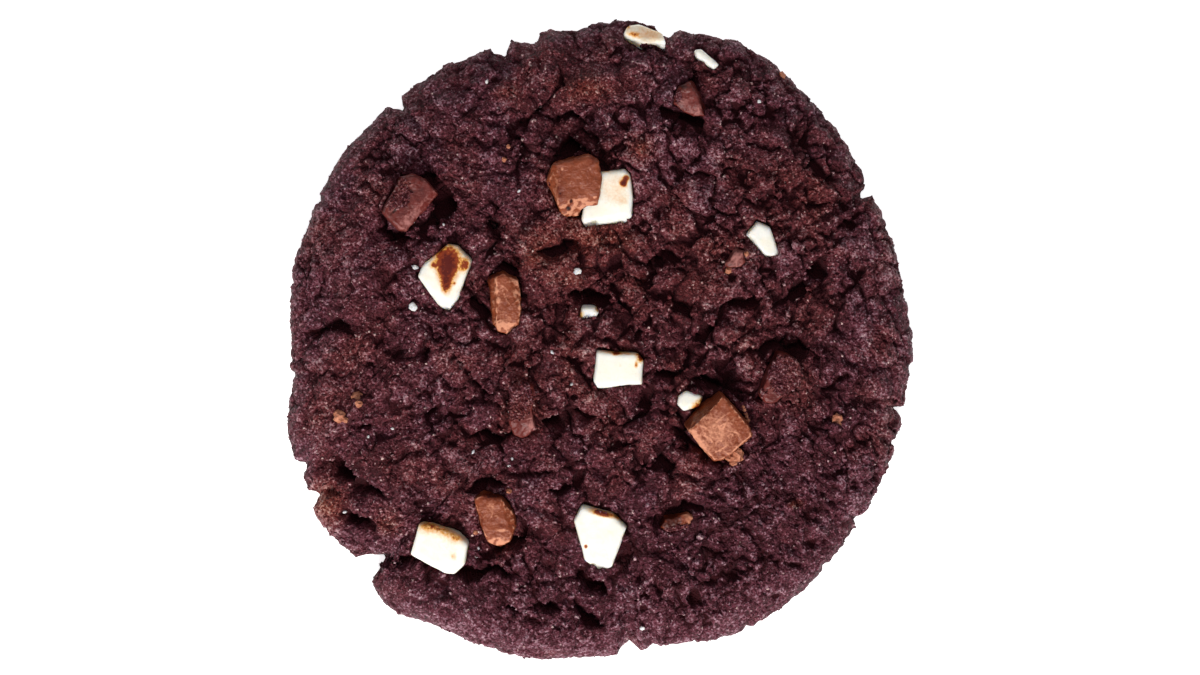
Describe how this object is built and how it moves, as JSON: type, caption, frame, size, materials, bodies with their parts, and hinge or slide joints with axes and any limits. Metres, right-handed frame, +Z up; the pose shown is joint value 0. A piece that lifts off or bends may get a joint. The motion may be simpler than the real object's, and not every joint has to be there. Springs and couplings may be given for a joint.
{
  "type": "chocolate chip cookie",
  "caption": "Large thick round dark cocoa cookie with a cracked crumbly top and chopped white, milk and dark chocolate baked in; lies flat on its base.",
  "frame": {"origin": "centre of the flat base, on the surface that the cookie lies on", "axes": "+Z up through the cookie's thickness, +Y away from a person who looks down on it, +X to their right"},
  "size_m": [0.1, 0.1022, 0.0157],
  "materials": {
    "dough": "baked dark cocoa dough, dry and granular, matt with small glints",
    "white_chocolate": "chopped white chocolate, waxy, satin, browned along some edges",
    "milk_chocolate": "chopped milk chocolate, satin, finely scratched",
    "dark_chocolate": "chopped dark chocolate, satin, partly covered with dough"
  },
  "bodies": {
    "root": {"dough": "dough", "white_chunk_1": "white_chocolate", "white_chunk_2": "white_chocolate", "white_chunk_3": "white_chocolate", "white_chunk_4": "white_chocolate", "white_chunk_5": "white_chocolate", "white_chunk_6": "white_chocolate", "white_chunk_7": "white_chocolate", "white_chunk_8": "white_chocolate", "white_chunk_9": "white_chocolate", "white_chunk_10": "white_chocolate", "milk_chunk_1": "milk_chocolate", "milk_chunk_2": "milk_chocolate", "milk_chunk_3": "milk_chocolate", "milk_chunk_4": "milk_chocolate", "milk_chunk_5": "milk_chocolate", "dark_chunk_1": "dark_chocolate", "dark_chunk_2": "dark_chocolate", "dark_chunk_3": "dark_chocolate", "dark_chunk_4": "dark_chocolate", "dark_chunk_5": "dark_chocolate"}
  },
  "joints": []
}
